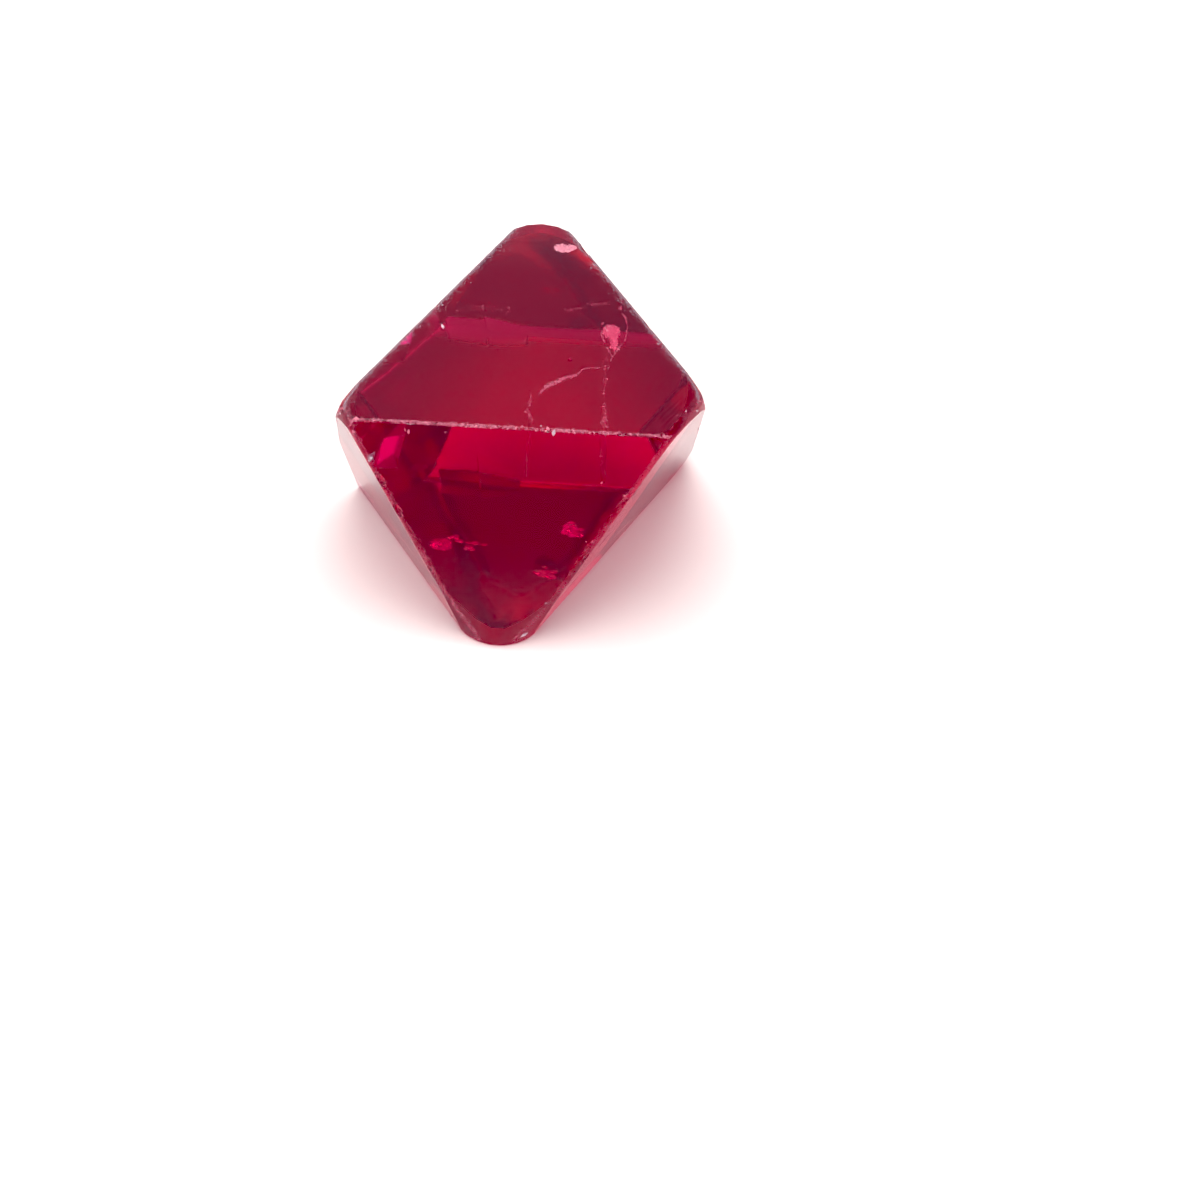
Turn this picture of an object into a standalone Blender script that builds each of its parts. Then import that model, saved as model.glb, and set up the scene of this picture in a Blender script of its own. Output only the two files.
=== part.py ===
# Natural spinel crystal: one octahedron that grew unevenly, resting on one of its eight faces.
# Every length is in millimetres until the last step, which turns them into metres.
# X runs to the right, Y away from the viewer, Z up; an azimuth of 270 degrees looks at the viewer.
import bpy
import bmesh
import math
from mathutils import Vector

THICKNESS = 5.0          # from the face it rests on to the parallel face on top
LEAN = math.degrees(math.asin(1.0 / 3.0))   # lean of the side faces of an octahedron, 19.47 degrees

# The eight growth faces: azimuth, rise above the horizon, distance from the centre.
# A face that grew slowly lies nearer to the centre and is larger.
FACES = {
    "top": (0.0, 90.0, THICKNESS / 2),
    "rest": (0.0, -90.0, THICKNESS / 2),
    "front": (270.0, LEAN, 1.736),
    "back_right": (30.0, LEAN, 4.484),
    "back_left": (150.0, LEAN, 3.631),
    "under_left": (210.0, -LEAN, 2.50),
    "under_right": (330.0, -LEAN, 2.50),
    "under_back": (90.0, -LEAN, 5.18),
}

# The lower corner at the back left is broken off along one nearly upright plane
BROKEN_CORNER = (144.1, 3.8, 3.871)

# Edges worn round: the two faces that meet there and the radius
WORN_EDGES = [
    ("top", "front", 0.07),
    ("front", "under_left", 0.15),
    ("front", "under_right", 0.18),
    ("top", "under_right", 0.16),
    ("top", "under_left", 0.12),
    ("top", "back_left", 0.09),
    ("top", "back_right", 0.09),
    ("back_left", "under_left", 0.08),
    ("back_right", "under_right", 0.08),
    ("back_left", "under_back", 0.10),
    ("back_right", "under_back", 0.10),
    ("rest", "under_left", 0.07),
    ("rest", "under_right", 0.07),
    ("rest", "under_back", 0.26),
]

# Corners worn round: the three faces that meet there and the radius.
# The front foot and the far corner are worn most, as the photo shows.
WORN_CORNERS = [
    ("front", "under_left", "under_right", 1.02),
    ("back_left", "back_right", "under_back", 1.05),
    ("top", "back_left", "under_left", 0.42),
    ("top", "back_right", "under_right", 0.42),
    ("top", "front", "under_left", 0.24),
    ("top", "front", "under_right", 0.22),
    ("rest", "back_left", "under_left", 0.36),
    ("rest", "back_right", "under_right", 0.40),
    ("rest", "back_right", "under_back", 0.44),
]
EDGE_STEPS = 4           # a worn edge is this many turns from one face to the other
CORNER_STEPS = 6         # the same for a worn corner
FINE_CORNER = 0.6        # corners of a smaller radius get fewer turns

# Growth ledges: low plates of the last, unfinished layers on the faces turned away from the viewer.
# They have three sides, like the faces they lie on. Face, centre across and up the face measured
# from the foot of its perpendicular, distance from the plate's centre to a corner, height.
LEDGES = [
    ("back_right", 1.70, -1.30, 2.30, 0.045),
    ("back_right", 1.50, -1.55, 1.30, 0.090),
    ("back_left", -1.90, -0.55, 1.90, 0.040),
    ("back_left", -1.65, -0.70, 1.00, 0.080),
    ("under_back", -0.90, 0.95, 2.10, 0.045),
    ("under_back", -1.15, 0.70, 1.20, 0.090),
]
LEDGE_ROOT = 0.30        # how far a plate's tool reaches into the crystal
LEDGE_MARGIN = 0.10      # how far a plate stays behind the neighbouring faces
LEDGE_SLOPE = 0.8        # lean of a plate's sides, 0 for upright

# Chips along the edges: the two faces of the edge, a point near the chip, half its length,
# the radius of the scoop and how deep it bites
CHIPS = [
    ("rest", "under_back", (2.20, 4.60, -2.50), 0.34, 0.42, 0.26),
    ("rest", "under_back", (-0.55, 4.60, -2.50), 0.95, 0.50, 0.24),
    ("rest", "back_right", (4.20, 3.40, -2.50), 0.30, 0.30, 0.12),
    ("top", "back_right", (1.50, 5.15, 2.50), 0.36, 0.30, 0.09),
    ("top", "back_right", (2.95, 2.62, 2.50), 0.28, 0.22, 0.06),
    ("top", "back_left", (-1.72, 2.96, 2.50), 0.30, 0.22, 0.06),
    ("top", "back_left", (-3.10, 0.55, 2.50), 0.18, 0.18, 0.05),
    ("top", "under_right", (3.45, -1.05, 2.50), 0.20, 0.20, 0.07),
    ("top", "under_left", (-3.65, -0.75, 2.50), 0.14, 0.16, 0.06),
    ("front", "under_left", (-2.69, -1.41, 1.21), 0.34, 0.30, 0.09),
    ("front", "under_left", (-2.30, -1.65, 0.55), 0.30, 0.26, 0.09),
    ("front", "under_left", (-1.60, -2.10, -0.75), 0.22, 0.22, 0.06),
    ("front", "under_right", (2.60, -1.45, 1.10), 0.26, 0.24, 0.07),
    ("front", "under_right", (1.85, -1.90, -0.30), 0.30, 0.24, 0.06),
    ("top", "front", (-2.10, -0.96, 2.50), 0.34, 0.22, 0.04),
    ("top", "front", (0.80, -0.96, 2.50), 0.26, 0.20, 0.045),
    ("top", "front", (2.40, -0.96, 2.50), 0.30, 0.22, 0.035),
    ("back_right", "under_right", (4.28, 1.90, 0.20), 0.34, 0.24, 0.07),
]

# Small round pits: a point on the surface and the radius of the pit
PITS = [
    ((3.77, -0.11, 2.50), 0.070),
    ((4.01, -0.09, 2.50), 0.045),
    ((-2.88, -1.24, 1.68), 0.075),
    ((-1.55, 2.16, 2.50), 0.050),
    ((-2.05, 2.15, 2.50), 0.045),
    ((1.25, 1.33, 2.50), 0.045),
    ((1.01, -2.32, -1.34), 0.045),
]
PIT_CENTRE_ABOVE = 0.4   # share of a pit's radius by which its centre lies above the surface

START_BLOCK = 40.0       # edge of the block that the faces are cut from
SAME_POINT = 0.003       # corners closer than this are one corner
SAME_PLANE = 0.5         # faces that turn by fewer degrees are one face
SMALLEST_EDGE = 0.0008
SMOOTH_AREA = 0.35       # larger faces are growth faces and stay flat, in square millimetres
SMOOTH_ANGLE = 30.0      # sharper turns show as edges, in degrees
METRE = 0.001
COLOUR = (0.50, 0.006, 0.045, 0.42)
IOR = 1.718


def clear_scene():
    for item in list(bpy.data.objects):
        bpy.data.objects.remove(item, do_unlink=True)


def direction(azimuth, rise):
    level = math.cos(math.radians(rise))
    return Vector((
        level * math.cos(math.radians(azimuth)),
        level * math.sin(math.radians(azimuth)),
        math.sin(math.radians(rise)),
    ))


def face_plane(name, inset=0.0):
    azimuth, rise, distance = FACES[name]
    return direction(azimuth, rise), distance - inset


def cut_away(body, normal, distance):
    # Removes what lies beyond the plane and closes the cut with one flat face
    everything = body.verts[:] + body.edges[:] + body.faces[:]
    cut = bmesh.ops.bisect_plane(
        body, geom=everything, dist=1e-5, plane_co=normal * distance,
        plane_no=normal, clear_outer=True,
    )
    rim = [item for item in cut["geom_cut"] if isinstance(item, bmesh.types.BMEdge)]
    if rim:
        bmesh.ops.edgeloop_fill(body, edges=rim)


def shares(count, total):
    # Every way to divide the total over the faces, with something for each of them
    if count == 1:
        return [(total,)]
    return [
        (first,) + rest
        for first in range(1, total - count + 2)
        for rest in shares(count - 1, total - first)
    ]


def rounding_planes(names, radius, steps):
    # Planes that touch the ball or roller of this radius lying in the corner or edge
    planes = [face_plane(name) for name in names]
    for weights in shares(len(names), steps):
        mixed = sum((plane[0] * weight for plane, weight in zip(planes, weights)), Vector())
        reach = sum((plane[1] - radius) * weight for plane, weight in zip(planes, weights))
        yield mixed.normalized(), reach / mixed.length + radius


def crystal_planes():
    planes = [face_plane(name) for name in FACES]
    planes.append((direction(*BROKEN_CORNER[:2]), BROKEN_CORNER[2]))
    for *names, radius in WORN_EDGES:
        planes += rounding_planes(names, radius, EDGE_STEPS)
    for *names, radius in WORN_CORNERS:
        steps = CORNER_STEPS if radius > FINE_CORNER else CORNER_STEPS - 2
        planes += rounding_planes(names, radius, steps)
    return planes


def solid_inside(planes):
    body = bmesh.new()
    bmesh.ops.create_cube(body, size=START_BLOCK)
    for normal, distance in planes:
        cut_away(body, normal, distance)
    return body


def grow_body():
    body = solid_inside(crystal_planes())
    bmesh.ops.remove_doubles(body, verts=body.verts[:], dist=SAME_POINT)
    bmesh.ops.dissolve_limit(
        body, angle_limit=math.radians(SAME_PLANE), verts=body.verts[:], edges=body.edges[:],
    )
    bmesh.ops.recalc_face_normals(body, faces=body.faces[:])
    return body


def new_object(name, body):
    mesh = bpy.data.meshes.new(name)
    body.to_mesh(mesh)
    body.free()
    item = bpy.data.objects.new(name, mesh)
    bpy.context.scene.collection.objects.link(item)
    return item


def as_cutter(item):
    item.hide_render = True
    item.display_type = "WIRE"
    return item


def combine(crystal, tool, operation):
    change = crystal.modifiers.new(tool.name, "BOOLEAN")
    change.operation = operation
    change.solver = "EXACT"
    change.object = tool


def ledge_tool(index, face, across, up, reach, height):
    # A low plate on one face; its three sides run along the edges of the octahedron
    normal, distance = face_plane(face)
    side = Vector((0.0, 0.0, 1.0)).cross(normal).normalized()
    uphill = normal.cross(side)
    middle = normal * distance + side * across + uphill * up
    first_side = 90.0 if normal.z > 0 else 270.0
    planes = [(normal, distance + height), (-normal, LEDGE_ROOT - distance)]
    for turn in (0.0, 120.0, 240.0):
        angle = math.radians(first_side + turn)
        outward = side * math.cos(angle) + uphill * math.sin(angle)
        slope = (outward + normal * LEDGE_SLOPE).normalized()
        planes.append((slope, slope.dot(middle + outward * reach / 2)))
    inset = LEDGE_MARGIN + height
    planes += [face_plane(name, inset) for name in FACES if name != face]
    planes.append((direction(*BROKEN_CORNER[:2]), BROKEN_CORNER[2] - inset))
    return as_cutter(new_object("ledge_%d" % index, solid_inside(planes)))


def chip_tool(index, first, second, near, half_length, radius, bite):
    # A ball drawn out along the edge; it leaves the curved hollow that brittle crystal breaks with
    outward, distance = next(rounding_planes((first, second), 0.0, 2))
    along = face_plane(first)[0].cross(face_plane(second)[0]).normalized()
    near = Vector(near)
    middle = near - outward * (outward.dot(near) - distance) + outward * (radius - bite)
    body = bmesh.new()
    bmesh.ops.create_icosphere(body, subdivisions=3, radius=radius)
    stretch = half_length / radius - 1.0
    for vertex in body.verts:
        vertex.co = middle + vertex.co + along * vertex.co.dot(along) * stretch
    return as_cutter(new_object("chip_%d" % index, body))


def pit_tool(index, point, radius):
    point = Vector(point)
    nearest = min(FACES, key=lambda name: abs(face_plane(name)[0].dot(point) - FACES[name][2]))
    outward = face_plane(nearest)[0]
    body = bmesh.new()
    bmesh.ops.create_icosphere(body, subdivisions=2, radius=radius)
    for vertex in body.verts:
        vertex.co += point + outward * radius * PIT_CENTRE_ABOVE
    return as_cutter(new_object("pit_%d" % index, body))


def spinel_material():
    material = bpy.data.materials.new("spinel_red")
    material.use_nodes = True
    shader = material.node_tree.nodes["Principled BSDF"]
    shader.inputs["Base Color"].default_value = COLOUR
    shader.inputs["Alpha"].default_value = COLOUR[3]
    shader.inputs["Roughness"].default_value = 0.08
    shader.inputs["IOR"].default_value = IOR
    return material


def finish_shape(item):
    # Puts the cut shape in the mesh itself, drops slivers, and lets the tools go
    graph = bpy.context.evaluated_depsgraph_get()
    finished = bpy.data.meshes.new_from_object(item.evaluated_get(graph))
    item.modifiers.clear()
    item.data = finished
    shape = bmesh.new()
    shape.from_mesh(finished)
    bmesh.ops.remove_doubles(shape, verts=shape.verts[:], dist=SMALLEST_EDGE)
    bmesh.ops.dissolve_degenerate(shape, edges=shape.edges[:], dist=SMALLEST_EDGE)
    shape.to_mesh(finished)
    shape.free()
    for tool in list(bpy.data.objects):
        if tool.name != item.name:
            bpy.data.objects.remove(tool, do_unlink=True)


def stand_on_origin(item):
    # The origin goes to the middle of the outline on the ground
    points = [vertex.co.copy() for vertex in item.data.vertices]
    low = [min(point[axis] for point in points) for axis in range(3)]
    high = [max(point[axis] for point in points) for axis in range(3)]
    middle = Vector(((low[0] + high[0]) / 2, (low[1] + high[1]) / 2, low[2]))
    for vertex in item.data.vertices:
        vertex.co = (vertex.co - middle) * METRE
    print("origin lies at", [round(value, 4) for value in middle], "from the centre, in mm")


def shade_by_angle(item):
    # The round corners, chips and edge flats shade smoothly; the growth faces stay flat
    shape = bmesh.new()
    shape.from_mesh(item.data)
    for face in shape.faces:
        face.smooth = face.calc_area() < SMOOTH_AREA * METRE * METRE
    for edge in shape.edges:
        edge.smooth = len(edge.link_faces) == 2 and edge.calc_face_angle() < math.radians(SMOOTH_ANGLE)
    shape.to_mesh(item.data)
    shape.free()


def build():
    clear_scene()
    crystal = new_object("spinel_crystal", grow_body())
    for index, ledge in enumerate(LEDGES):
        combine(crystal, ledge_tool(index, *ledge), "UNION")
    for index, chip in enumerate(CHIPS):
        combine(crystal, chip_tool(index, *chip), "DIFFERENCE")
    for index, pit in enumerate(PITS):
        combine(crystal, pit_tool(index, *pit), "DIFFERENCE")
    finish_shape(crystal)
    stand_on_origin(crystal)
    shade_by_angle(crystal)
    crystal.data.materials.clear()
    crystal.data.materials.append(spinel_material())


build()
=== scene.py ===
# Looks of the natural spinel crystal: clear, deep pinkish red, worn along its edges.
# The crystal is worked in millimetres from the centre of its octahedron, then set in the frame.
import math
import random

import bmesh
import bpy
from mathutils import Matrix, Vector, noise
from mathutils.bvhtree import BVHTree


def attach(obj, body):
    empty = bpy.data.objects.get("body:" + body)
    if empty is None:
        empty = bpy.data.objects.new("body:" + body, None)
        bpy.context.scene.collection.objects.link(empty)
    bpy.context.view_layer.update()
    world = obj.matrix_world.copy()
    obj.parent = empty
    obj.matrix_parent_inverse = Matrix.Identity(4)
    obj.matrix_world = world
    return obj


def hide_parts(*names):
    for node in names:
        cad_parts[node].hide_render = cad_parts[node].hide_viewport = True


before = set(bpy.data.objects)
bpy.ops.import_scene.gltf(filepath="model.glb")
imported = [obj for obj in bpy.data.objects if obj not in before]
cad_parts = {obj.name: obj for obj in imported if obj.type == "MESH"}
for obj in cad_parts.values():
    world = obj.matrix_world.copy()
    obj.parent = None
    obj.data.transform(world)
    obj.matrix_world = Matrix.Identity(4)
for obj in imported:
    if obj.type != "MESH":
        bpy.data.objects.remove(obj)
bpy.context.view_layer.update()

METRE = 0.001
CENTRE = Vector((-0.2612, -1.7623, 2.5))    # the octahedron's centre in the frame, in mm

# The eight growth faces: azimuth, rise above the horizon, distance from the centre
LEAN = math.degrees(math.asin(1.0 / 3.0))
FACES = {
    "top": (0.0, 90.0, 2.5),
    "rest": (0.0, -90.0, 2.5),
    "front": (270.0, LEAN, 1.736),
    "back_right": (30.0, LEAN, 4.484),
    "back_left": (150.0, LEAN, 3.631),
    "under_left": (210.0, -LEAN, 2.50),
    "under_right": (330.0, -LEAN, 2.50),
    "under_back": (90.0, -LEAN, 5.18),
}
BROKEN_CORNER = (144.1, 3.8, 3.871)

# Edges and corners worn round: the faces that meet there and the radius
WORN_EDGES = [
    ("top", "front", 0.07),
    ("front", "under_left", 0.15),
    ("front", "under_right", 0.18),
    ("top", "under_right", 0.16),
    ("top", "under_left", 0.12),
    ("top", "back_left", 0.09),
    ("top", "back_right", 0.09),
    ("back_left", "under_left", 0.08),
    ("back_right", "under_right", 0.08),
    ("back_left", "under_back", 0.10),
    ("back_right", "under_back", 0.10),
    ("rest", "under_left", 0.07),
    ("rest", "under_right", 0.07),
    ("rest", "under_back", 0.45),
]
WORN_CORNERS = [
    ("front", "under_left", "under_right", 1.02),
    ("back_left", "back_right", "under_back", 1.05),
    ("top", "back_left", "under_left", 0.42),
    ("top", "back_right", "under_right", 0.42),
    ("top", "front", "under_left", 0.24),
    ("top", "front", "under_right", 0.22),
    ("rest", "back_left", "under_left", 0.36),
    ("rest", "back_right", "under_right", 0.40),
    ("rest", "back_right", "under_back", 0.44),
]
EDGE_STEPS = 8          # a worn edge is this many turns from one face to the other
CORNER_STEPS = 8        # the same for a worn corner

# Chips along the edges: the two faces, a point near the chip, half length, radius and bite
CHIPS = [
    ("rest", "back_right", (4.20, 3.40, -2.50), 0.30, 0.30, 0.12),
    ("top", "back_right", (1.50, 5.15, 2.50), 0.36, 0.30, 0.09),
    ("top", "back_right", (2.95, 2.62, 2.50), 0.28, 0.22, 0.06),
    ("top", "back_left", (-1.72, 2.96, 2.50), 0.30, 0.22, 0.06),
    ("top", "back_left", (-3.10, 0.55, 2.50), 0.18, 0.18, 0.05),
    ("top", "under_right", (3.45, -1.05, 2.50), 0.20, 0.20, 0.07),
    ("top", "under_left", (-3.65, -0.75, 2.50), 0.14, 0.16, 0.06),
    ("front", "under_left", (-2.69, -1.41, 1.21), 0.34, 0.30, 0.09),
    ("front", "under_left", (-2.30, -1.65, 0.55), 0.30, 0.26, 0.09),
    ("front", "under_left", (-1.60, -2.10, -0.75), 0.22, 0.22, 0.06),
    ("front", "under_right", (2.60, -1.45, 1.10), 0.26, 0.24, 0.07),
    ("front", "under_right", (1.85, -1.90, -0.30), 0.30, 0.24, 0.06),
    ("top", "front", (-2.10, -0.96, 2.50), 0.34, 0.22, 0.04),
    ("top", "front", (0.80, -0.96, 2.50), 0.26, 0.20, 0.045),
    ("top", "front", (2.40, -0.96, 2.50), 0.30, 0.22, 0.035),
    ("back_right", "under_right", (4.28, 1.90, 0.20), 0.34, 0.24, 0.07),
]
# Small round pits: a point on a face and the radius
PITS = [
    ((3.77, -0.11, 2.50), 0.070),
    ((4.01, -0.09, 2.50), 0.045),
    ((-2.88, -1.24, 1.68), 0.075),
    ((-1.55, 2.16, 2.50), 0.050),
    ((-2.05, 2.15, 2.50), 0.045),
    ((1.25, 1.33, 2.50), 0.045),
    ((1.01, -2.32, -1.34), 0.045),
]
PIT_CENTRE_ABOVE = 0.4      # how far the ball that cuts one stands out, as a share of its radius

# Steps left by flakes that split off: azimuth, rise and a point of each plane that bounds one;
# what lies beyond all of them is gone
FLAKES = [
    [
        (8.0, 14.0, (-1.50, 4.40, -2.30)), (172.0, -10.0, (-0.56, 4.40, -2.30)),
        (90.0, -90.0, (0.0, 0.0, -2.30)), (84.0, 5.0, (-1.0, 4.12, -2.30)),
    ],
    [
        (8.0, 14.0, (-1.50, 4.40, -2.30)), (172.0, -10.0, (-0.56, 4.40, -2.30)),
        (91.0, -34.0, (-1.0, 4.60, -2.30)),
    ],
    [
        (10.0, 0.0, (-0.60, 4.40, -2.28)), (180.0, 14.0, (0.38, 4.40, -2.28)),
        (180.0, -79.8, (-0.5, 0.0, -2.28)), (97.0, 5.0, (0.0, 4.10, -2.28)),
    ],
    [
        (10.0, 0.0, (-0.60, 4.40, -2.28)), (180.0, 14.0, (0.38, 4.40, -2.28)),
        (102.8, -44.3, (-0.5, 4.50, -2.28)),
    ],
    [
        (0.0, -12.0, (-2.82, 3.0, -0.80)), (180.0, 12.0, (-2.36, 3.0, -0.80)),
        (97.0, -20.0, (-2.70, 2.78, -0.80)), (105.0, 75.0, (-2.6, 3.0, -1.20)),
        (75.0, -70.0, (-2.6, 3.0, -0.40)),
    ],
]

# Growth ledges on the faces turned away: face, across, up, reach, height
LEDGES = [
    ("back_right", 1.70, -1.30, 2.30, 0.045),
    ("back_right", 1.50, -1.55, 1.30, 0.090),
    ("back_left", -1.90, -0.55, 1.90, 0.040),
    ("back_left", -1.65, -0.70, 1.00, 0.080),
]
LEDGE_ROOT = 0.30       # depth of the plates inside the face
LEDGE_MARGIN = 0.10     # kept free along the edges of the face
LEDGE_SLOPE = 0.8

# Small cracks inside, closed and filled with air, alone or in groups: middle, azimuth and rise
# of the flat side, half width and half height of the crack or group, number in it. The first
# two stand upright below the fine cracks of the top face.
CRACKS = [
    ((2.05, -0.25, 1.55), 7.0, 0.0, 0.52, 0.60, 1),
    ((0.43, -0.45, 1.50), -8.0, 0.0, 0.32, 0.50, 1),
    ((1.48, -0.14, -0.70), 88.3, -74.1, 0.20, 0.22, 1),
    ((1.52, -0.16, -0.69), 88.3, -74.1, 0.22, 0.20, 7),
    ((-1.34, -0.31, -1.18), 91.0, -74.3, 0.25, 0.17, 1),
    ((-1.20, -0.28, -1.15), 91.0, -74.3, 0.30, 0.17, 8),
    ((-0.60, -0.31, -1.20), 90.4, -76.3, 0.26, 0.16, 6),
    ((0.92, -0.67, -1.61), 88.7, -75.3, 0.20, 0.12, 1),
    ((0.90, -0.64, -1.60), 88.7, -75.3, 0.30, 0.20, 7),
]
CRACK_THICKNESS = 0.012
CRACK_WAVES = 0.008
CRACK_WAVE_SCALE = 9.0
CRACK_RIM = 0.5         # how ragged the rim is
CRACK_RIM_SCALE = 1.4
CRACK_RIM_SHIFT = 3.0   # gives each crack a rim of its own
CRACK_SHARE = 0.30      # size of each crack beside its group
CRACK_SIZES = (0.6, 1.3)
CRACK_DEPTHS = (-0.04, 0.04)
CRACK_TURN = 2.5        # how far their sides turn away from the group's, in degrees

# Tiny grains by colour: crushed spinel, specks, and bright pinks that are painted highlight and
# painted glow
PAINTS = {
    "pink": (0.50, 0.20, 0.24),
    "veil": (0.45, 0.13, 0.17),
    # painted highlight: pale pink grains that stand for a soft highlight
    "painted_highlight": (0.68, 0.30, 0.36),
    # painted glow: pink grains that stand for light seen through the crystal
    "painted_glow": (0.58, 0.12, 0.18),
    "grey": (0.32, 0.26, 0.28),
    "white": (0.62, 0.50, 0.54),
}
# Crushed edges: the two faces, the radius they are worn to, how far the grains reach on the
# first face, grains per millimetre, their size, how much of the edge they cover and colour
CRUSHED = [
    ("top", "front", 0.07, 0.02, 330, 0.012, 0.3, "pink"),
    ("front", "under_left", 0.15, 0.02, 260, 0.009, 0.3, "pink"),
    ("front", "under_right", 0.18, 0.02, 240, 0.009, 0.3, "pink"),
    ("top", "back_left", 0.09, 0.045, 850, 0.008, 0.6, "grey"),
    ("top", "back_right", 0.09, 0.045, 850, 0.008, 0.6, "grey"),
    ("top", "under_left", 0.12, 0.04, 160, 0.010, 0.2, "pink"),
    ("top", "under_right", 0.16, 0.04, 160, 0.010, 0.2, "pink"),
    ("back_left", "under_left", 0.08, 0.02, 110, 0.011, 0.2, "pink"),
    ("back_right", "under_right", 0.08, 0.02, 110, 0.011, 0.2, "pink"),
    ("back_left", "under_back", 0.10, 0.02, 110, 0.011, 0.2, "pink"),
    ("back_right", "under_back", 0.10, 0.02, 110, 0.011, 0.2, "pink"),
    ("rest", "under_left", 0.07, 0.01, 80, 0.010, 0.2, "pink"),
    ("rest", "under_right", 0.07, 0.01, 80, 0.010, 0.2, "pink"),
]
# Fine cracks that reach the surface, filled with crushed grains: points along them, half
# width, grains per millimetre, their size and colour
VEINS = [
    ([(0.63, 0.21, 2.5), (0.73, 0.41, 2.5), (0.90, 0.52, 2.5), (1.05, 0.63, 2.5),
      (1.15, 0.74, 2.5), (1.30, 0.81, 2.5), (1.39, 0.85, 2.5)],
     0.042, 520, 0.011, "veil"),
    ([(0.73, 0.41, 2.5), (0.90, 0.55, 2.5), (1.05, 0.64, 2.5)],
     0.055, 420, 0.011, "pink"),
    ([(1.39, 0.85, 2.5), (1.54, 1.06, 2.5), (1.71, 1.11, 2.5), (1.90, 1.13, 2.5),
      (2.05, 1.20, 2.5)],
     0.020, 160, 0.009, "veil"),
    ([(0.44, -0.04, 2.5), (0.41, 0.28, 2.5)],
     0.016, 160, 0.009, "veil"),
    ([(0.42, -0.04, 2.5), (0.38, -0.40, 2.5), (0.48, -0.72, 2.5)],
     0.060, 330, 0.009, "veil"),
    ([(2.27, 3.16, 2.5), (2.43, 2.87, 2.5), (2.48, 2.60, 2.5), (2.48, 2.37, 2.5),
      (2.44, 2.10, 2.5), (2.27, 1.75, 2.5), (2.18, 1.54, 2.5), (2.12, 1.34, 2.5),
      (2.08, 1.07, 2.5)],
     0.016, 180, 0.009, "veil"),
    ([(1.93, 2.62, 2.5), (1.92, 2.20, 2.5), (2.05, 1.80, 2.5), (2.16, 1.52, 2.5)],
     0.020, 220, 0.010, "veil"),
    ([(2.36, 3.44, 2.5), (2.32, 3.10, 2.5)],
     0.03, 260, 0.010, "veil"),
    ([(2.03, 1.73, 2.5), (2.00, 0.60, 2.5), (2.04, -0.79, 2.5)],
     0.060, 95, 0.009, "veil"),
    ([(2.02, -0.20, 2.5), (2.03, -0.75, 2.5)],
     0.075, 200, 0.010, "veil"),
    ([(1.99, -1.01, 2.35), (2.03, -1.24, 1.69), (2.08, -1.48, 1.03)],
     0.040, 40, 0.007, "veil"),
    ([(0.40, -1.04, 2.26), (0.42, -1.20, 1.82), (0.45, -1.35, 1.38)],
     0.030, 50, 0.007, "veil"),
    ([(-0.35, 1.53, 2.5), (-0.07, 1.75, 2.5), (0.25, 1.88, 2.5)],
     0.030, 40, 0.008, "veil"),
    ([(1.15, 2.95, 2.5), (1.60, 3.20, 2.5), (2.05, 3.30, 2.5)],
     0.080, 170, 0.008, "veil"),
    ([(2.20, 3.55, 2.5), (2.45, 3.25, 2.5)],
     0.060, 120, 0.009, "grey"),
    ([(-1.30, 2.75, 2.5), (-0.80, 2.90, 2.5), (-0.10, 2.90, 2.5)],
     0.120, 130, 0.008, "veil"),
    ([(-0.80, 4.85, 2.5), (-0.10, 5.00, 2.5)],
     0.100, 70, 0.009, "grey"),
]
# Spots of painted glow and painted highlight, in bright pink grains: middle, spread across,
# along and up, number of grains, their size and colour
PAINTED_GLOW_SPOTS = [
    # painted highlight near the far corner
    ((1.02, 5.12, 2.50), (0.14, 0.09, 0.02), 620, 0.016, "painted_highlight"),
    ((1.22, 5.16, 2.50), (0.07, 0.05, 0.02), 160, 0.016, "painted_highlight"),
    # painted glow where light shows through the crystal, with a few grains of painted highlight
    ((2.14, 2.34, 2.50), (0.13, 0.16, 0.00), 900, 0.012, "painted_glow"),
    ((2.06, 2.44, 2.50), (0.06, 0.08, 0.00), 60, 0.011, "painted_highlight"),
    ((2.20, 2.00, 2.50), (0.06, 0.20, 0.00), 420, 0.011, "painted_glow"),
]
# Specks on the surface, several of them in the pits: a point near the surface, size, colour
SPECKS = [
    ((-1.55, 2.18, 2.50), 0.045, "white"),
    ((-2.05, 2.17, 2.50), 0.016, "white"),
    ((0.68, -0.84, 2.50), 0.030, "white"),
    ((0.79, -0.94, 2.46), 0.026, "white"),
    ((0.96, -0.98, 2.44), 0.030, "white"),
    ((-3.62, -0.43, 2.17), 0.045, "white"),
    ((-3.43, -0.72, 2.37), 0.040, "white"),
    ((-2.90, -1.21, 1.65), 0.045, "white"),
    ((3.77, -0.08, 2.47), 0.055, "white"),
    ((4.03, 0.21, 2.23), 0.030, "white"),
    ((2.27, -1.63, 0.39), 0.036, "white"),
    ((1.01, -2.30, -1.36), 0.026, "white"),
    ((0.58, -2.41, -2.28), 0.035, "white"),
    ((-2.20, -1.02, 2.33), 0.024, "pink"),
    ((-2.12, -1.03, 2.29), 0.020, "pink"),
    ((-1.35, -1.02, 2.33), 0.020, "pink"),
    ((1.25, 1.40, 2.50), 0.022, "veil"),
    ((-0.99, 1.31, 2.50), 0.022, "veil"),
]
GRAIN_SEED = 7
GRAIN_TIPS = ((1, 0, 0), (0, 1, 0), (-1, 0, 0), (0, -1, 0), (0, 0, 1), (0, 0, -1))
GRAIN_LENGTHS = (0.8, 1.6)
GRAIN_WIDTHS = (0.6, 1.1)
GRAIN_HEIGHT = 0.30
GRAIN_JITTER = 0.3      # how far each tip moves in or out
GRAIN_SIZES = 0.4       # spread of the sizes
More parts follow.
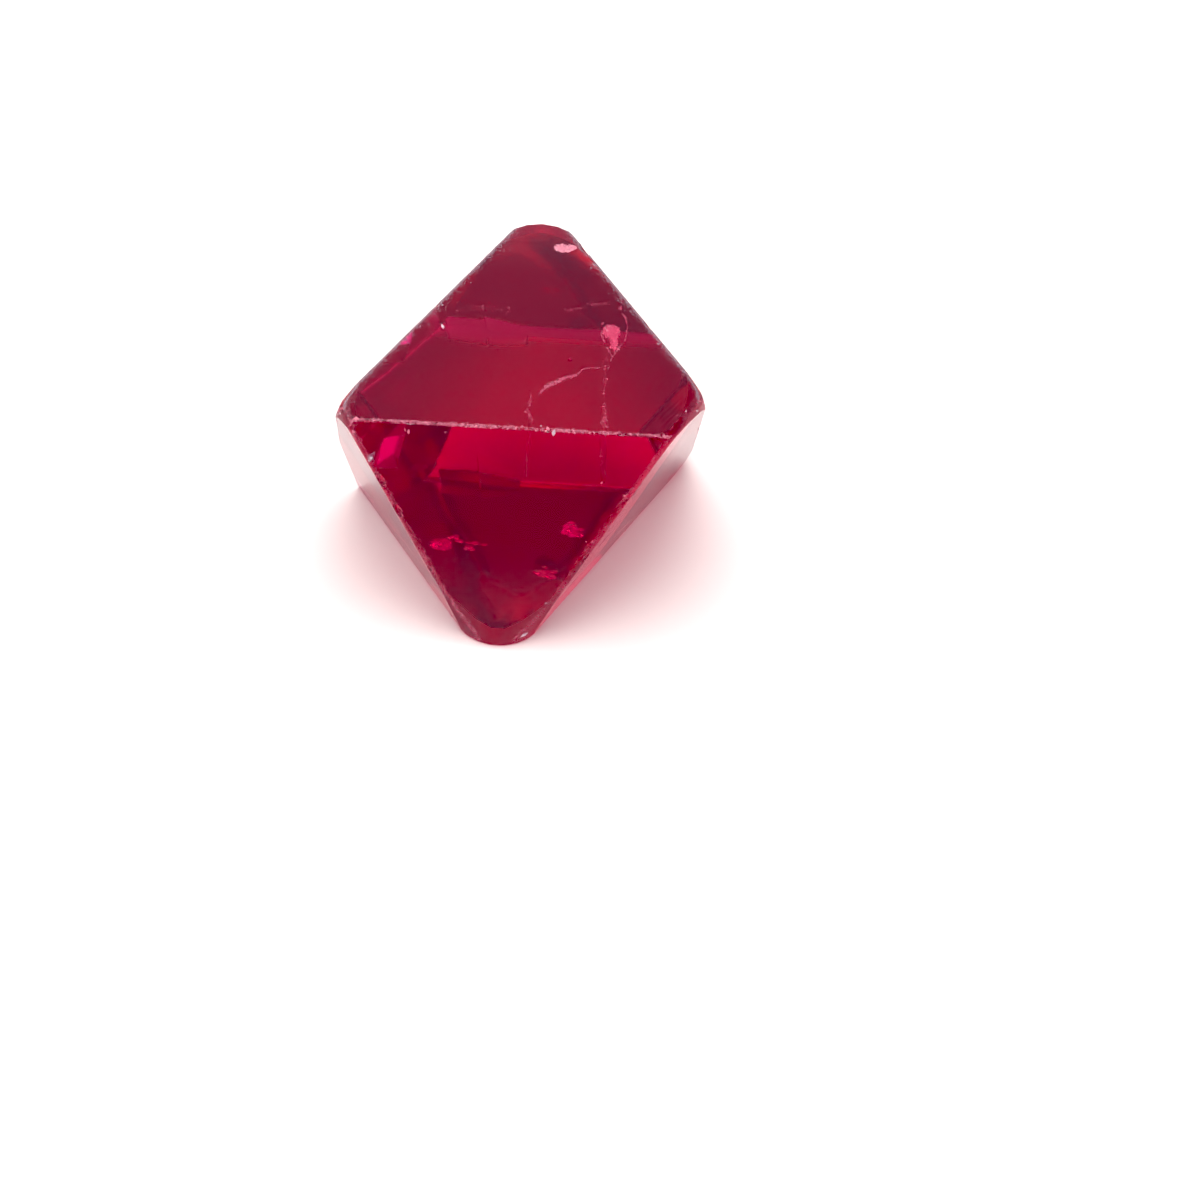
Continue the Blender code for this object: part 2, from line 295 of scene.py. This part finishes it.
GRAIN_SHADES = 0.2      # spread of the shades
GRAIN_PALEST = 0.9
EDGE_TURNS = (0.05, 0.8)    # part of the rounded edge that the grains lie on
EDGE_PATCHES = (2.2, 9.0)   # how close the large and small patches along an edge are
EDGE_SMALL_PATCHES = 0.5    # strength of the small patches beside the large ones
EDGE_INSET_SHARE = 0.5      # how many of the grains lie further in on the face
EDGE_RAGGED = 0.6
VEIN_PATCHES = 7.0
VEIN_RAGGED = 0.4
VEIN_COVER = 0.1
SPOT_EDGE = 1.6             # where a spot ends, beside its spread

# How the solids are cut and cleaned, and how their faces are told apart, in mm and degrees
START_BLOCK = 40.0          # the block that every solid is cut from
CUT_SLACK = 1e-5            # what lies this near to a cut counts as on it
SAME_POINT = 0.002          # corners nearer than this are one
SMALLEST_EDGE = 0.0008
SAME_PLANE = 0.2            # faces this many degrees apart are joined
SHARP_EDGE = 30.0           # edges above this angle stay sharp
SAME_WAY = 0.99999          # two directions with this cosine are the same
NEARLY_SAME_WAY = 0.999
ALONG_FACE = 0.01           # an edge with less slope than this never meets the face
GROWTH_SLACK = 0.1          # a face this near to a growth plane belongs to it
WORN_SLACK = 0.004

# How frosted each part is: worn strips, worn strips of the far lower edges, cut surfaces
WORN = 1.0
LESS_WORN = 0.3
CUT = 0.5
BACKWARD = 0.3              # the less worn strips face back and down by more than this
DOWNWARD = -0.2

# Spinel
IOR = 1.718
ABSORPTION = (110.0, 1300.0, 490.0)     # per metre, for red, green and blue

# Faint waves of growth in the faces, in metres and waves per metre
WAVE_HEIGHT = 0.000007
WAVE_SCALE = 900.0
WAVE_DETAIL = 3.0

# Roughness of the growth faces, the fully worn strips and the grains, which varies with a fine
# grit, in grits per metre
GROWTH_ROUGHNESS = 0.07
WORN_ROUGHNESS = 0.35
GRAIN_ROUGHNESS = (0.45, 0.85)
GRIT_SCALE = 40000.0

# Greasy films on the foot and on the far tip: where along the crystal they start and are full,
# in metres, and their weight
FILMS = [
    (-0.0036, -0.0042, 0.60),
    (0.0024, 0.0036, 0.28),
]
FILM_ROUGHNESS = 0.1

# Light of the studio in bands: rise above the horizon and brightness
SKY_PEAK = 4.18
SKY = [
    (0.0, 1.17), (9.0, 1.17), (12.0, 1.80), (20.0, 1.80), (25.0, 0.67), (34.0, 0.67),
    (38.0, 1.37), (50.0, 1.37), (54.0, 0.61), (66.0, 0.61),
    (70.0, SKY_PEAK), (90.0, SKY_PEAK),
]
SKY_LEFT = 1.28      # brighter towards the left, darker towards the right
SKY_RIGHT = 0.68
FLOOR = (0.97, 0.88, 0.87)
FLOOR_RADIUS = 1.5      # in metres
FLOOR_SIDES = 128
FLOOR_DROP = 0.00003    # gap below the crystal, in metres

# The camera, fitted to the photo: place in mm, turn in degrees, lens and sensor in mm, and the
# range it sees in metres
CAMERA_PLACE = (-0.4829, -57.7588, 55.1498)
CAMERA_TURN = (44.8542, -3.4576, 0.9067)
CAMERA_LENS = 105.0
CAMERA_SENSOR = 36.0
CAMERA_RANGE = (0.001, 100.0)

# How the picture is developed
GAMMA = 0.858
BLACK = (0.02, 0.10, 0.063)
BOUNCES = 24
DIFFUSE_BOUNCES = 4


def direction(azimuth, rise):
    level = math.cos(math.radians(rise))
    return Vector((
        level * math.cos(math.radians(azimuth)),
        level * math.sin(math.radians(azimuth)),
        math.sin(math.radians(rise)),
    ))


def face_plane(name, inset=0.0):
    azimuth, rise, distance = FACES[name]
    return direction(azimuth, rise), distance - inset


def cut_away(body, normal, distance):
    # Removes what lies beyond the plane and closes the cut with one flat face
    everything = body.verts[:] + body.edges[:] + body.faces[:]
    cut = bmesh.ops.bisect_plane(
        body, geom=everything, dist=CUT_SLACK, plane_co=normal * distance,
        plane_no=normal, clear_outer=True,
    )
    rim = [item for item in cut["geom_cut"] if isinstance(item, bmesh.types.BMEdge)]
    if rim:
        bmesh.ops.edgeloop_fill(body, edges=rim)


def shares(count, total):
    # Every way to split the total into this many whole parts
    if count == 1:
        return [(total,)]
    return [
        (first,) + rest
        for first in range(1, total - count + 2)
        for rest in shares(count - 1, total - first)
    ]


def rounding_planes(names, radius, steps):
    # Planes that touch the ball or roller of this radius lying in the corner or edge
    planes = [face_plane(name) for name in names]
    for weights in shares(len(names), steps):
        mixed = sum((plane[0] * weight for plane, weight in zip(planes, weights)), Vector())
        reach = sum((plane[1] - radius) * weight for plane, weight in zip(planes, weights))
        yield mixed.normalized(), reach / mixed.length + radius


def flat_planes():
    planes = [face_plane(name) for name in FACES]
    planes.append((direction(*BROKEN_CORNER[:2]), BROKEN_CORNER[2]))
    return planes


def worn_planes():
    planes = []
    for *names, radius in WORN_EDGES:
        planes += rounding_planes(names, radius, EDGE_STEPS)
    for *names, radius in WORN_CORNERS:
        planes += rounding_planes(names, radius, CORNER_STEPS)
    return planes


def solid_inside(planes):
    body = bmesh.new()
    bmesh.ops.create_cube(body, size=START_BLOCK)
    for normal, distance in planes:
        cut_away(body, normal, distance)
    return body


def grow_body():
    body = solid_inside(flat_planes() + worn_planes())
    bmesh.ops.remove_doubles(body, verts=body.verts[:], dist=SAME_POINT)
    bmesh.ops.dissolve_limit(
        body, angle_limit=math.radians(SAME_PLANE), verts=body.verts[:], edges=body.edges[:],
    )
    bmesh.ops.recalc_face_normals(body, faces=body.faces[:])
    return body


def new_object(name, body):
    mesh = bpy.data.meshes.new(name)
    body.to_mesh(mesh)
    body.free()
    item = bpy.data.objects.new(name, mesh)
    bpy.context.scene.collection.objects.link(item)
    return item


def combine(crystal, tool, operation):
    change = crystal.modifiers.new(tool.name, "BOOLEAN")
    change.operation = operation
    change.solver = "EXACT"
    change.object = tool


def ledge_tool(index, face, across, up, reach, height):
    # A low plate on one face; its three sides run along the edges of the face
    normal, distance = face_plane(face)
    side = Vector((0.0, 0.0, 1.0)).cross(normal).normalized()
    uphill = normal.cross(side)
    middle = normal * distance + side * across + uphill * up
    first_side = 90.0 if normal.z > 0 else 270.0
    planes = [(normal, distance + height), (-normal, LEDGE_ROOT - distance)]
    for turn in (0.0, 120.0, 240.0):
        angle = math.radians(first_side + turn)
        outward = side * math.cos(angle) + uphill * math.sin(angle)
        slope = (outward + normal * LEDGE_SLOPE).normalized()
        planes.append((slope, slope.dot(middle + outward * reach / 2)))
    inset = LEDGE_MARGIN + height
    planes += [face_plane(name, inset) for name in FACES if name != face]
    planes.append((direction(*BROKEN_CORNER[:2]), BROKEN_CORNER[2] - inset))
    return new_object("ledge_%d" % index, solid_inside(planes))


def chip_tool(index, first, second, near, half_length, radius, bite):
    # A ball drawn out along the edge
    outward, distance = next(rounding_planes((first, second), 0.0, 2))
    along = face_plane(first)[0].cross(face_plane(second)[0]).normalized()
    near = Vector(near)
    middle = near - outward * (outward.dot(near) - distance) + outward * (radius - bite)
    body = bmesh.new()
    bmesh.ops.create_icosphere(body, subdivisions=4, radius=radius)
    stretch = half_length / radius - 1.0
    for vertex in body.verts:
        vertex.co = middle + vertex.co + along * vertex.co.dot(along) * stretch
    return new_object("chip_%d" % index, body)


def pit_tool(index, point, radius):
    point = Vector(point)
    nearest = min(FACES, key=lambda name: abs(face_plane(name)[0].dot(point) - FACES[name][2]))
    outward = face_plane(nearest)[0]
    body = bmesh.new()
    bmesh.ops.create_icosphere(body, subdivisions=3, radius=radius)
    for vertex in body.verts:
        vertex.co += point + outward * radius * PIT_CENTRE_ABOVE
    return new_object("pit_%d" % index, body)


def flake_tool(index, faces):
    planes = []
    for azimuth, rise, point in faces:
        outward = direction(azimuth, rise)
        planes.append((-outward, -outward.dot(Vector(point))))
    return new_object("flake_%d" % index, solid_inside(planes))


def cut_shape(crystal):
    tools = []
    for index, flake in enumerate(FLAKES):
        tools.append(flake_tool(index, flake))
        combine(crystal, tools[-1], "DIFFERENCE")
    for index, ledge in enumerate(LEDGES):
        tools.append(ledge_tool(index, *ledge))
        combine(crystal, tools[-1], "UNION")
    for index, chip in enumerate(CHIPS):
        tools.append(chip_tool(index, *chip))
        combine(crystal, tools[-1], "DIFFERENCE")
    for index, pit in enumerate(PITS):
        tools.append(pit_tool(index, *pit))
        combine(crystal, tools[-1], "DIFFERENCE")
    graph = bpy.context.evaluated_depsgraph_get()
    finished = bpy.data.meshes.new_from_object(crystal.evaluated_get(graph))
    crystal.modifiers.clear()
    crystal.data = finished
    for tool in tools:
        bpy.data.objects.remove(tool, do_unlink=True)


def lies_on(face, planes, slack):
    # Whether the face is part of one of the planes
    normal = face.normal
    middle = face.calc_center_median()
    return any(
        normal.dot(plane[0]) > SAME_WAY and abs(middle.dot(plane[0]) - plane[1]) < slack
        for plane in planes
    )


def add_crack(shape, middle, azimuth, rise, half_width, half_height):
    # A closed, wavy lens of air with a ragged rim; its faces look towards the air
    outward = direction(azimuth, rise)
    across = direction(azimuth + 90.0, 0.0)
    along = outward.cross(across)
    made = bmesh.ops.create_icosphere(shape, subdivisions=4, radius=1.0)
    for vertex in made["verts"]:
        place = vertex.co.copy()
        size = 1.0 + CRACK_RIM * noise.noise(middle * CRACK_RIM_SHIFT + place * CRACK_RIM_SCALE)
        spot = middle + (across * place.x * half_width + along * place.y * half_height) * size
        wave = noise.noise(spot * CRACK_WAVE_SCALE) * CRACK_WAVES
        vertex.co = spot + outward * (place.z * CRACK_THICKNESS / 2 + wave)
    for face in {face for vertex in made["verts"] for face in vertex.link_faces}:
        face.normal_flip()
        face.smooth = True


def add_cracks(shape, middle, azimuth, rise, half_width, half_height, count):
    # One crack, or a loose group of small ones
    if count == 1:
        add_crack(shape, Vector(middle), azimuth, rise, half_width, half_height)
        return
    outward = direction(azimuth, rise)
    across = direction(azimuth + 90.0, 0.0)
    along = outward.cross(across)
    spread = random.Random(count)
    for _ in range(count):
        aside, ahead = spread.uniform(-1.0, 1.0), spread.uniform(-1.0, 1.0)
        spot = Vector(middle) + across * aside * half_width + along * ahead * half_height
        spot += outward * spread.uniform(*CRACK_DEPTHS)
        size = CRACK_SHARE * spread.uniform(*CRACK_SIZES)
        turned = azimuth + spread.gauss(0.0, CRACK_TURN)
        tipped = rise + spread.gauss(0.0, CRACK_TURN)
        add_crack(shape, spot, turned, tipped, half_width * size, half_height * size)


def mark_and_place(crystal):
    # Growth faces stay flat; the worn strips are marked for their material
    flat = flat_planes()
    worn = worn_planes()
    shape = bmesh.new()
    shape.from_mesh(crystal.data)
    bmesh.ops.remove_doubles(shape, verts=shape.verts[:], dist=SMALLEST_EDGE)
    bmesh.ops.dissolve_degenerate(shape, edges=shape.edges[:], dist=SMALLEST_EDGE)
    mark = shape.faces.layers.float.new("worn")
    outer = list(shape.faces)
    for crack in CRACKS:
        add_cracks(shape, *crack)
    for face in outer:
        on_growth = lies_on(face, flat, GROWTH_SLACK)
        face.smooth = not on_growth
        if on_growth:
            face[mark] = 0.0
        elif lies_on(face, worn, WORN_SLACK):
            far_below = face.normal.y >= BACKWARD and face.normal.z <= DOWNWARD
            face[mark] = LESS_WORN if far_below else WORN
        else:
            face[mark] = CUT
    for edge in shape.edges:
        edge.smooth = (
            len(edge.link_faces) == 2 and edge.calc_face_angle() < math.radians(SHARP_EDGE)
        )
    for vertex in shape.verts:
        vertex.co = (vertex.co + CENTRE) * METRE
    shape.to_mesh(crystal.data)
    shape.free()


def spinel():
    material = bpy.data.materials.new("spinel_red")
    material.use_nodes = True
    nodes = material.node_tree.nodes
    links = material.node_tree.links
    shader = nodes["Principled BSDF"]
    shader.inputs["Base Color"].default_value = (1.0, 1.0, 1.0, 1.0)
    shader.inputs["Transmission Weight"].default_value = 1.0
    shader.inputs["IOR"].default_value = IOR
    shader.inputs["Roughness"].default_value = 0.0
    depth = nodes.new("ShaderNodeVolumeAbsorption")
    # A little above the largest value, so that no colour of the absorption is zero
    strongest = max(ABSORPTION) * 1.001
    depth.inputs["Color"].default_value = (*[1.0 - value / strongest for value in ABSORPTION], 1.0)
    depth.inputs["Density"].default_value = strongest
    links.new(depth.outputs["Volume"], nodes["Material Output"].inputs["Volume"])
    wear = nodes.new("ShaderNodeAttribute")
    wear.attribute_name = "worn"
    rough = nodes.new("ShaderNodeMapRange")
    rough.inputs["To Min"].default_value = GROWTH_ROUGHNESS
    rough.inputs["To Max"].default_value = WORN_ROUGHNESS
    links.new(wear.outputs["Fac"], rough.inputs["Value"])
    links.new(rough.outputs["Result"], shader.inputs["Roughness"])
    place = nodes.new("ShaderNodeTexCoord")
    waves = nodes.new("ShaderNodeTexNoise")
    waves.inputs["Scale"].default_value = WAVE_SCALE
    waves.inputs["Detail"].default_value = WAVE_DETAIL
    relief = nodes.new("ShaderNodeBump")
    relief.inputs["Distance"].default_value = WAVE_HEIGHT
    links.new(place.outputs["Object"], waves.inputs["Vector"])
    links.new(waves.outputs["Fac"], relief.inputs["Height"])
    links.new(relief.outputs["Normal"], shader.inputs["Normal"])
    split = nodes.new("ShaderNodeSeparateXYZ")
    links.new(place.outputs["Object"], split.inputs["Vector"])
    most = nodes.new("ShaderNodeMath")
    most.operation = "MAXIMUM"
    for number, (start, full, weight) in enumerate(FILMS):
        film = nodes.new("ShaderNodeMapRange")
        film.inputs["From Min"].default_value = start
        film.inputs["From Max"].default_value = full
        film.inputs["To Max"].default_value = weight
        links.new(split.outputs["Y"], film.inputs["Value"])
        links.new(film.outputs["Result"], most.inputs[number])
    shader.inputs["Coat Roughness"].default_value = FILM_ROUGHNESS
    links.new(most.outputs["Value"], shader.inputs["Coat Weight"])
    return material


def edge_line(first, second, radius):
    # Middle of the roller lying in this edge: a point, the way along and the two ends
    normals = [face_plane(name, radius) for name in (first, second)]
    (one, near), (two, far) = normals
    lean = one.dot(two)
    share = 1 - lean ** 2
    point = one * (near - lean * far) / share + two * (far - lean * near) / share
    along = one.cross(two).normalized()
    low, high = -START_BLOCK, START_BLOCK
    for normal, distance in flat_planes():
        slope = normal.dot(along)
        if abs(slope) < ALONG_FACE or max(normal.dot(one), normal.dot(two)) > NEARLY_SAME_WAY:
            continue
        end = (distance - normal.dot(point)) / slope
        low, high = (low, min(high, end)) if slope > 0 else (max(low, end), high)
    return point, along, low, high


class Grains:
    # Tiny broken grains, each an uneven flattened octahedron half sunk in the surface it lies on
    def __init__(self, crystal):
        self.surface = BVHTree.FromObject(crystal, bpy.context.evaluated_depsgraph_get())
        self.spread = random.Random(GRAIN_SEED)
        self.tips = [Vector(tip) for tip in GRAIN_TIPS]
        self.sides = [(side, (side + 1) % 4, 4) for side in range(4)]
        self.sides += [((side + 1) % 4, side, 5) for side in range(4)]
        self.points = []
        self.faces = []
        self.paints = []

    def drop(self, point, size, paint):
        # One grain on the surface nearest to the point
        place, normal, _, _ = self.surface.find_nearest(point)
        spin = Matrix.Rotation(self.spread.uniform(0.0, math.tau), 3, "Z").to_quaternion()
        turn = normal.to_track_quat("Z", "Y") @ spin
        long, short = self.spread.uniform(*GRAIN_LENGTHS), self.spread.uniform(*GRAIN_WIDTHS)
        stretch = Vector((long, short, GRAIN_HEIGHT)) * size
        stretch *= self.spread.lognormvariate(0.0, GRAIN_SIZES)
        first = len(self.points)
        for tip in self.tips:
            uneven = 1.0 + self.spread.uniform(-GRAIN_JITTER, GRAIN_JITTER)
            self.points.append(place + turn @ (tip * stretch) * uneven)
        self.faces += [[first + number for number in side] for side in self.sides]
        shade = self.spread.lognormvariate(0.0, GRAIN_SHADES)
        colour = [min(GRAIN_PALEST, value * shade) for value in PAINTS[paint]]
        self.paints += [(*colour, 1.0)] * len(self.sides)

    def along_edge(self, first, second, radius, reach, density, size, cover, paint):
        point, along, low, high = edge_line(first, second, radius)
        one, two = face_plane(first)[0], face_plane(second)[0]
        inward = (one * one.dot(two) - two).normalized()
        large, small = EDGE_PATCHES
        for _ in range(int(density * (high - low))):
            middle = point + along * self.spread.uniform(low, high)
            patch = noise.noise(middle * large) + EDGE_SMALL_PATCHES * noise.noise(middle * small)
            if self.spread.uniform(-EDGE_RAGGED, EDGE_RAGGED) > patch + cover:
                continue
            outward = one.lerp(two, self.spread.uniform(*EDGE_TURNS)).normalized()
            inset = 0.0
            if self.spread.random() < EDGE_INSET_SHARE:
                inset = self.spread.expovariate(1.0 / reach)
            self.drop(middle + outward * radius + inward * inset, size, paint)

    def along_vein(self, points, width, density, size, paint):
        for start, end in zip(points, points[1:]):
            start, end = Vector(start), Vector(end)
            for _ in range(int((end - start).length * density)):
                point = start.lerp(end, self.spread.random())
                patch = noise.noise(point * VEIN_PATCHES)
                if self.spread.uniform(-VEIN_RAGGED, VEIN_RAGGED) > patch + VEIN_COVER:
                    continue
                around = Vector([self.spread.gauss(0.0, width / 2) for _ in range(3)])
                self.drop(point + around, size, paint)

    def step_in_spot(self):
        # A random step that ends inside the spot
        while True:
            step = Vector([self.spread.gauss(0.0, 1.0) for _ in range(3)])
            if step.length <= SPOT_EDGE:
                return step

    def around_spot(self, middle, spread, count, size, paint):
        for _ in range(count):
            away = Vector([one * reach for one, reach in zip(self.step_in_spot(), spread)])
            self.drop(Vector(middle) + away, size, paint)

    def finish(self):
        mesh = bpy.data.meshes.new("crushed_grains_and_painted_glow")
        mesh.from_pydata([(point + CENTRE) * METRE for point in self.points], [], self.faces)
        layer = mesh.attributes.new("paint", "FLOAT_COLOR", "FACE")
        layer.data.foreach_set("color", [value for colour in self.paints for value in colour])
        item = bpy.data.objects.new("crushed_grains_and_painted_glow", mesh)
        bpy.context.scene.collection.objects.link(item)
        return item


# The grains' material; among their colours are the painted glow and painted highlight
def crushed_grains_and_painted_glow():
    material = bpy.data.materials.new("crushed_grains_and_painted_glow")
    material.use_nodes = True
    nodes = material.node_tree.nodes
    links = material.node_tree.links
    shader = nodes["Principled BSDF"]
    paint = nodes.new("ShaderNodeAttribute")
    paint.attribute_name = "paint"
    links.new(paint.outputs["Color"], shader.inputs["Base Color"])
    place = nodes.new("ShaderNodeTexCoord")
    grit = nodes.new("ShaderNodeTexNoise")
    grit.inputs["Scale"].default_value = GRIT_SCALE
    rough = nodes.new("ShaderNodeMapRange")
    rough.inputs["To Min"].default_value = GRAIN_ROUGHNESS[0]
    rough.inputs["To Max"].default_value = GRAIN_ROUGHNESS[1]
    links.new(place.outputs["Object"], grit.inputs["Vector"])
    links.new(grit.outputs["Fac"], rough.inputs["Value"])
    links.new(rough.outputs["Result"], shader.inputs["Roughness"])
    return material


def build_crushed_grains_and_painted_glow(crystal):
    grains = Grains(crystal)
    for edge in CRUSHED:
        grains.along_edge(*edge)
    for vein in VEINS:
        grains.along_vein(*vein)
    # spots of painted glow and painted highlight
    for spot in PAINTED_GLOW_SPOTS:
        grains.around_spot(*spot)
    for point, size, paint in SPECKS:
        grains.drop(Vector(point), size, paint)
    item = grains.finish()
    item.data.materials.append(crushed_grains_and_painted_glow())
    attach(item, "root")


def build_crystal():
    crystal = new_object("crystal", grow_body())
    cut_shape(crystal)
    build_crushed_grains_and_painted_glow(crystal)
    mark_and_place(crystal)
    crystal.data.materials.clear()
    crystal.data.materials.append(spinel())
    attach(crystal, "root")
    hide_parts("spinel_crystal")


def build_floor():
    body = bmesh.new()
    bmesh.ops.create_circle(body, cap_ends=True, segments=FLOOR_SIDES, radius=FLOOR_RADIUS)
    floor = new_object("floor", body)
    floor.location.z = -FLOOR_DROP
    material = bpy.data.materials.new("pale_floor")
    material.use_nodes = True
    shader = material.node_tree.nodes["Principled BSDF"]
    shader.inputs["Base Color"].default_value = (*FLOOR, 1.0)
    shader.inputs["Roughness"].default_value = 1.0
    shader.inputs["Specular IOR Level"].default_value = 0.0
    floor.data.materials.append(material)


def build_light():
    world = bpy.data.worlds.new("studio")
    bpy.context.scene.world = world
    world.use_nodes = True
    nodes = world.node_tree.nodes
    links = world.node_tree.links
    sky = nodes["Background"]
    place = nodes.new("ShaderNodeTexCoord")
    split = nodes.new("ShaderNodeSeparateXYZ")
    ramp = nodes.new("ShaderNodeValToRGB")
    ramp.color_ramp.interpolation = "LINEAR"
    while len(ramp.color_ramp.elements) < len(SKY):
        ramp.color_ramp.elements.new(0.5)
    for element, (rise, level) in zip(ramp.color_ramp.elements, SKY):
        element.position = math.sin(math.radians(rise))
        element.color = (level / SKY_PEAK, level / SKY_PEAK, level / SKY_PEAK, 1.0)
    side = nodes.new("ShaderNodeMapRange")
    side.inputs["From Min"].default_value = -1.0
    side.inputs["To Min"].default_value = SKY_PEAK * SKY_LEFT
    side.inputs["To Max"].default_value = SKY_PEAK * SKY_RIGHT
    links.new(place.outputs["Generated"], split.inputs["Vector"])
    links.new(split.outputs["Z"], ramp.inputs["Fac"])
    links.new(ramp.outputs["Color"], sky.inputs["Color"])
    links.new(split.outputs["X"], side.inputs["Value"])
    links.new(side.outputs["Result"], sky.inputs["Strength"])


def build_camera():
    lens = bpy.data.cameras.new("camera")
    lens.lens = CAMERA_LENS
    lens.sensor_width = CAMERA_SENSOR
    lens.clip_start, lens.clip_end = CAMERA_RANGE
    camera = bpy.data.objects.new("camera", lens)
    bpy.context.scene.collection.objects.link(camera)
    camera.location = Vector(CAMERA_PLACE) * METRE
    camera.rotation_euler = [math.radians(angle) for angle in CAMERA_TURN]
    bpy.context.scene.camera = camera


def set_rays():
    scene = bpy.context.scene
    scene.view_settings.view_transform = "Standard"
    scene.view_settings.gamma = GAMMA
    scene.view_settings.use_curve_mapping = True
    scene.view_settings.curve_mapping.black_level = BLACK
    scene.cycles.max_bounces = BOUNCES
    scene.cycles.transmission_bounces = BOUNCES
    scene.cycles.glossy_bounces = BOUNCES
    scene.cycles.diffuse_bounces = DIFFUSE_BOUNCES
    scene.cycles.blur_glossy = 0.0
    scene.cycles.caustics_reflective = True
    scene.cycles.caustics_refractive = True


build_crystal()
build_floor()
build_light()
build_camera()
set_rays()
